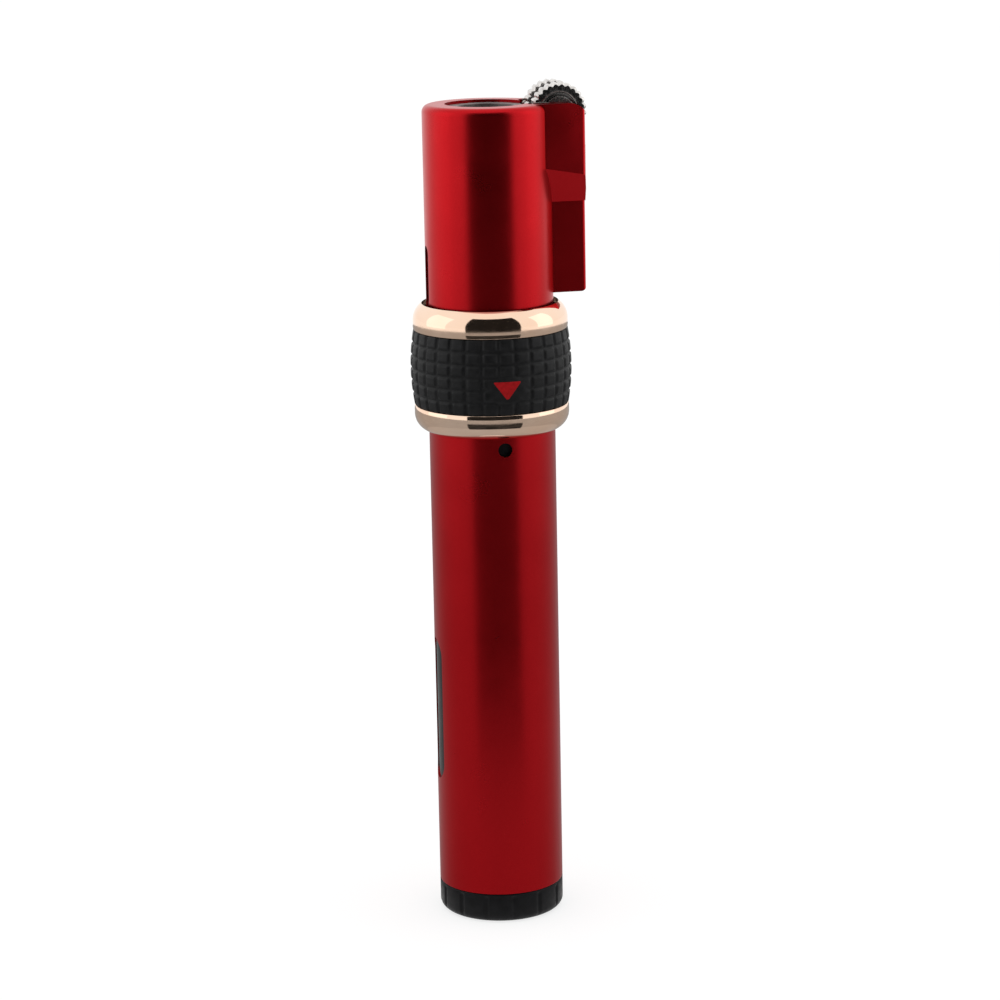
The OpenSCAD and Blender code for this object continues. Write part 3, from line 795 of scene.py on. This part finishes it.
def make_bracket():
    """Fork with two ears: a flat shoulder, a dome over the axle and a slope to the outside."""
    ear_y, ear_t = 3.95, 0.5
    floor_z, floor_t = 130.15, 0.5
    x0, x1 = low("wheel_bracket", 0), high("wheel_bracket", 0)
    dome = 2.35
    shoulder = 137.25
    dome_x = WHEEL_X - 0.1
    rise = math.degrees(math.asin((shoulder - WHEEL_Z) / dome))
    outline = [(x0, floor_z), (x1, floor_z), (x1, 135.4)]
    outline += arc(dome_x, WHEEL_Z, dome, 42, 180 - rise, 24)
    outline += [(x0, shoulder)]
    fork = box_piece("wheel_fork", (x0, -ear_y - ear_t, floor_z), (x1 - x0, 2 * (ear_y + ear_t), floor_t))
    for y0 in (-ear_y - ear_t, ear_y):
        combine(fork, prism("ear", outline, -y0 - ear_t, -y0, TOWARDS_FRONT), "UNION")
    combine(fork, rod_piece("cut", (WHEEL_X, 0), 1.1, floor_z - 1, floor_z + 1, 64), "DIFFERENCE")
    pin_r = 1.01
    circle = [(WHEEL_X + x, WHEEL_Z + z) for x, z in arc(0, 0, pin_r, 0, 352.5, 47)]
    combine(fork, prism("cut", circle, -6, 6, TOWARDS_FRONT), "DIFFERENCE")
    soften(fork, 0.1, segments=2, angle=30)
    dress(fork, PLATED_RIM, "black_nickel", "torch_body", "wheel_bracket")


def make_axle():
    """Pin with rounded ends."""
    half = high("wheel_axle", 1)
    flat_r, end_r = 0.86, 0.14
    profile = [(0, -half)] + arc(flat_r, -half + end_r, end_r, -90, 0, 4)
    profile += arc(flat_r, half - end_r, end_r, 0, 90, 4) + [(0, half)]
    pin = smooth(place_wheel(lathe("axle_pin", profile, 64)))
    dress(pin, LOOKS["black_nickel"], "black_nickel", "torch_body", "wheel_axle")


# ---------- stage, light and camera ----------


def stage_object(name, bm):
    """An object of the stage, already in metres."""
    mesh = bpy.data.meshes.new(name)
    bm.to_mesh(mesh)
    bm.free()
    obj = bpy.data.objects.new(name, mesh)
    bpy.context.scene.collection.objects.link(obj)
    return obj


def only_reflected(card):
    """The card is seen by reflections alone."""
    card.visible_camera = False
    card.visible_diffuse = False
    card.visible_shadow = False


def make_stage():
    """White table, lit from within."""
    reach = 25.0
    bm = bmesh.new()
    corners = [(-reach, -reach), (reach, -reach), (reach, reach), (-reach, reach)]
    bm.faces.new([bm.verts.new((x, y, 0)) for x, y in corners])
    floor = stage_object("floor", bm)
    white = (1, 1, 1, 1)
    paper = Look("lit_table").set(Specular_IOR_Level=0.0, Emission_Color=white, Emission_Strength=0.72)
    paper.colours(paper.noise(400.0, 2.0), (0.3, 0.3, 0.3), (0.32, 0.32, 0.32))
    paper.roughness(paper.noise(200.0), 0.8, 0.9)
    floor.data.materials.append(paper.material)


def make_flag(azimuth_low, azimuth_high, distance, z0, z1):
    """A dark curved card in front of the torch, which the bright metal reflects as its dark middle."""
    bm = bmesh.new()
    steps = 24
    before = None
    for i in range(steps + 1):
        a = math.radians(azimuth_low + (azimuth_high - azimuth_low) * i / steps)
        x, y = distance * math.sin(a), -distance * math.cos(a)
        pair = (bm.verts.new((x, y, z0)), bm.verts.new((x, y, z1)))
        if before:
            bm.faces.new((before[0], pair[0], pair[1], before[1]))
        before = pair
    card = stage_object("dark_card", bm)
    black = Look("card_black").set(Roughness=0.95, Specular_IOR_Level=0.0)
    black.colours(black.noise(50.0), (0.012, 0.012, 0.012), (0.016, 0.016, 0.016))
    card.data.materials.append(black.material)
    only_reflected(card)


def make_table_card(name, inner, outer, azimuths, height, grey):
    """A card on the table round the torch: a whole ring or a sector."""
    bm = bmesh.new()
    steps = 64
    start, end = (math.radians(a) for a in azimuths)
    before = None
    for i in range(steps + 1):
        a = start + (end - start) * i / steps
        pair = [bm.verts.new((r * math.sin(a), -r * math.cos(a), height)) for r in (inner, outer)]
        if before:
            bm.faces.new((before[0], before[1], pair[1], pair[0]))
        before = pair
    card = stage_object(name, bm)
    look = Look(name).set(Roughness=0.9, Specular_IOR_Level=0.0)
    look.colours(look.noise(80.0), (grey, grey, grey), (grey + 0.03, grey + 0.03, grey + 0.03))
    card.data.materials.append(look.material)
    only_reflected(card)


def area_light(name, azimuth, elevation, distance, size, power):
    """A softbox that looks at the torch's middle. Azimuth 0 is straight in front."""
    light = bpy.data.lights.new(name, "AREA")
    light.shape = "RECTANGLE"
    light.size, light.size_y = size
    light.energy = power
    obj = bpy.data.objects.new(name, light)
    bpy.context.scene.collection.objects.link(obj)
    a, e = math.radians(azimuth), math.radians(elevation)
    aim = Vector((0, 0, 0.07))
    back = Vector((math.sin(a) * math.cos(e), -math.cos(a) * math.cos(e), math.sin(e)))
    obj.location = aim + back * distance
    obj.rotation_mode = "QUATERNION"
    obj.rotation_quaternion = (-back).to_track_quat("-Z", "Y")
    obj.visible_camera = False


def make_light():
    world = bpy.data.worlds.new("studio")
    bpy.context.scene.world = world
    world.use_nodes = True
    background = world.node_tree.nodes["Background"]
    background.inputs["Color"].default_value = (1, 1, 1, 1)
    background.inputs["Strength"].default_value = 1.0
    area_light("left_softbox", -100, 12, 0.7, (0.5, 0.9), 0.4)
    area_light("right_softbox", 78, 12, 0.7, (0.4, 0.9), 0.4)
    make_flag(-48, 34, 0.42, 0.03, 0.7)
    make_table_card("near_card", 0.016, 0.14, (0, 360), 0.0004, 0.4)
    make_table_card("far_card", 0.14, 0.6, (0, 360), 0.0004, 0.34)
    make_table_card("dark_floor_card", 0.12, 0.42, (-48, 34), 0.0008, 0.015)


def make_camera():
    """A little to the left of the front, looking slightly down, rolled so that the torch leans left."""
    azimuth, pitch, roll = math.radians(-11.3), math.radians(12.7), math.radians(1.146)
    distance, height = 0.5058, 0.1849
    yaw = math.atan(6.3 / 3100)
    data = bpy.data.cameras.new("camera")
    data.sensor_width = 36
    data.lens = 111.6
    data.clip_start, data.clip_end = 0.01, 50
    camera = bpy.data.objects.new("camera", data)
    bpy.context.scene.collection.objects.link(camera)
    camera.location = (distance * math.sin(azimuth), -distance * math.cos(azimuth), height)
    flat = Vector((-math.sin(azimuth), math.cos(azimuth), 0))
    flat.rotate(Matrix.Rotation(-yaw, 3, "Z"))
    forward = (flat * math.cos(pitch) + Vector((0, 0, -math.sin(pitch)))).normalized()
    right = forward.cross(Vector((0, 0, 1))).normalized()
    up = right.cross(forward)
    rolled_up = up * math.cos(roll) + right * math.sin(roll)
    rolled_right = right * math.cos(roll) - up * math.sin(roll)
    basis = Matrix((rolled_right, rolled_up, -forward)).transposed()
    camera.rotation_mode = "QUATERNION"
    camera.rotation_quaternion = basis.to_quaternion()
    bpy.context.scene.camera = camera


dress_cad_nodes()
make_lower_shell()
make_base_cap()
make_window()
make_upper_shell()
make_mouth_ring()
make_grip()
make_index_mark()
make_trim_ring("lower_gold_ring", "lower_trim_ring", 2.9, BODY_R + 0.16, True)
make_trim_ring("upper_gold_ring", "upper_trim_ring", 3.3, BODY_R + 0.8, False)
make_thumb_wheel("front_thumb_wheel", "thumb_wheel_front", -1)
make_thumb_wheel("rear_thumb_wheel", "thumb_wheel_rear", 1)
make_file_wheel()
make_bracket()
make_axle()
make_stage()
make_light()
make_camera()
bpy.context.scene.view_settings.view_transform = "Standard"

bpy.context.view_layer.update()
